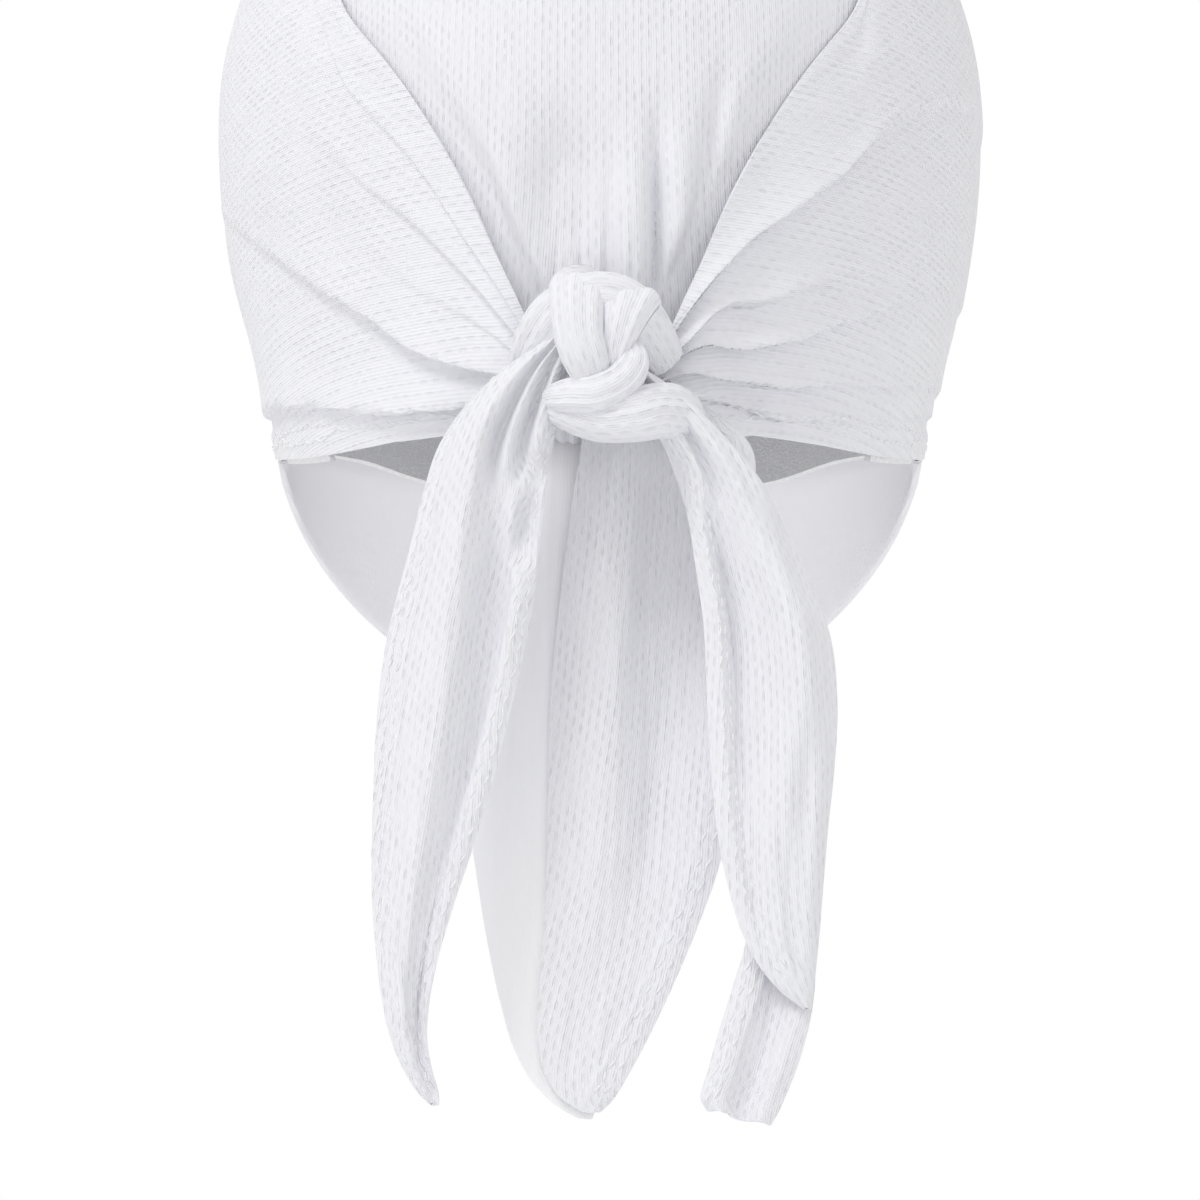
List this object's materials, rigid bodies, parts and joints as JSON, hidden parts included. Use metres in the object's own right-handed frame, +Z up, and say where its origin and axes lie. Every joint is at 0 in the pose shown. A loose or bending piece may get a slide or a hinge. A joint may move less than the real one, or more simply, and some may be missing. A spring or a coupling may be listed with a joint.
{
  "type": "tie-back sports bandana with peak",
  "caption": "Knitted mesh sports bandana with a soft front peak, tied at the nape in a knot with hanging tie tails and a crown tail that swing.",
  "frame": {"origin": "centre of the head opening, level with the hem above the ears", "axes": "+Z up along the wearer's head, -Y to the back where the knot is, +Y to the front where the peak is, +X to the wearer's right"},
  "size_m": [0.1778, 0.2654, 0.3383],
  "materials": {
    "mesh_knit": "matt knitted mesh",
    "smooth_knit": "matt smooth jersey",
    "terry_knit": "matt looped terry",
    "peak_stiffener": "matt"
  },
  "bodies": {
    "cap": {"crown_panel": "mesh_knit", "left_wing": "mesh_knit", "right_wing": "mesh_knit", "sweatband": "terry_knit", "peak_board": "peak_stiffener", "peak_top_cover": "smooth_knit", "peak_under_cover": "smooth_knit", "peak_edge_binding": "smooth_knit", "knot_cross_strand": "mesh_knit", "knot_wrap_strand": "mesh_knit"},
    "left_tie": {"left_tie_tail": "mesh_knit"},
    "right_tie": {"right_tie_tail": "mesh_knit"},
    "crown_tail": {"crown_tail": "mesh_knit"}
  },
  "joints": [
    {"name": "left_tie_swing", "type": "hinge", "parent": "cap", "child": "left_tie", "pos_m": [-0.006, -0.092, -0.014], "axis": [0, 1, 0], "range_deg": [0, 40]},
    {"name": "right_tie_swing", "type": "hinge", "parent": "cap", "child": "right_tie", "pos_m": [0.006, -0.092, -0.014], "axis": [0, -1, 0], "range_deg": [0, 40]},
    {"name": "crown_tail_swing", "type": "hinge", "parent": "cap", "child": "crown_tail", "pos_m": [0, -0.076, -0.009], "axis": [0, 1, 0], "range_deg": [-10, 10]}
  ]
}
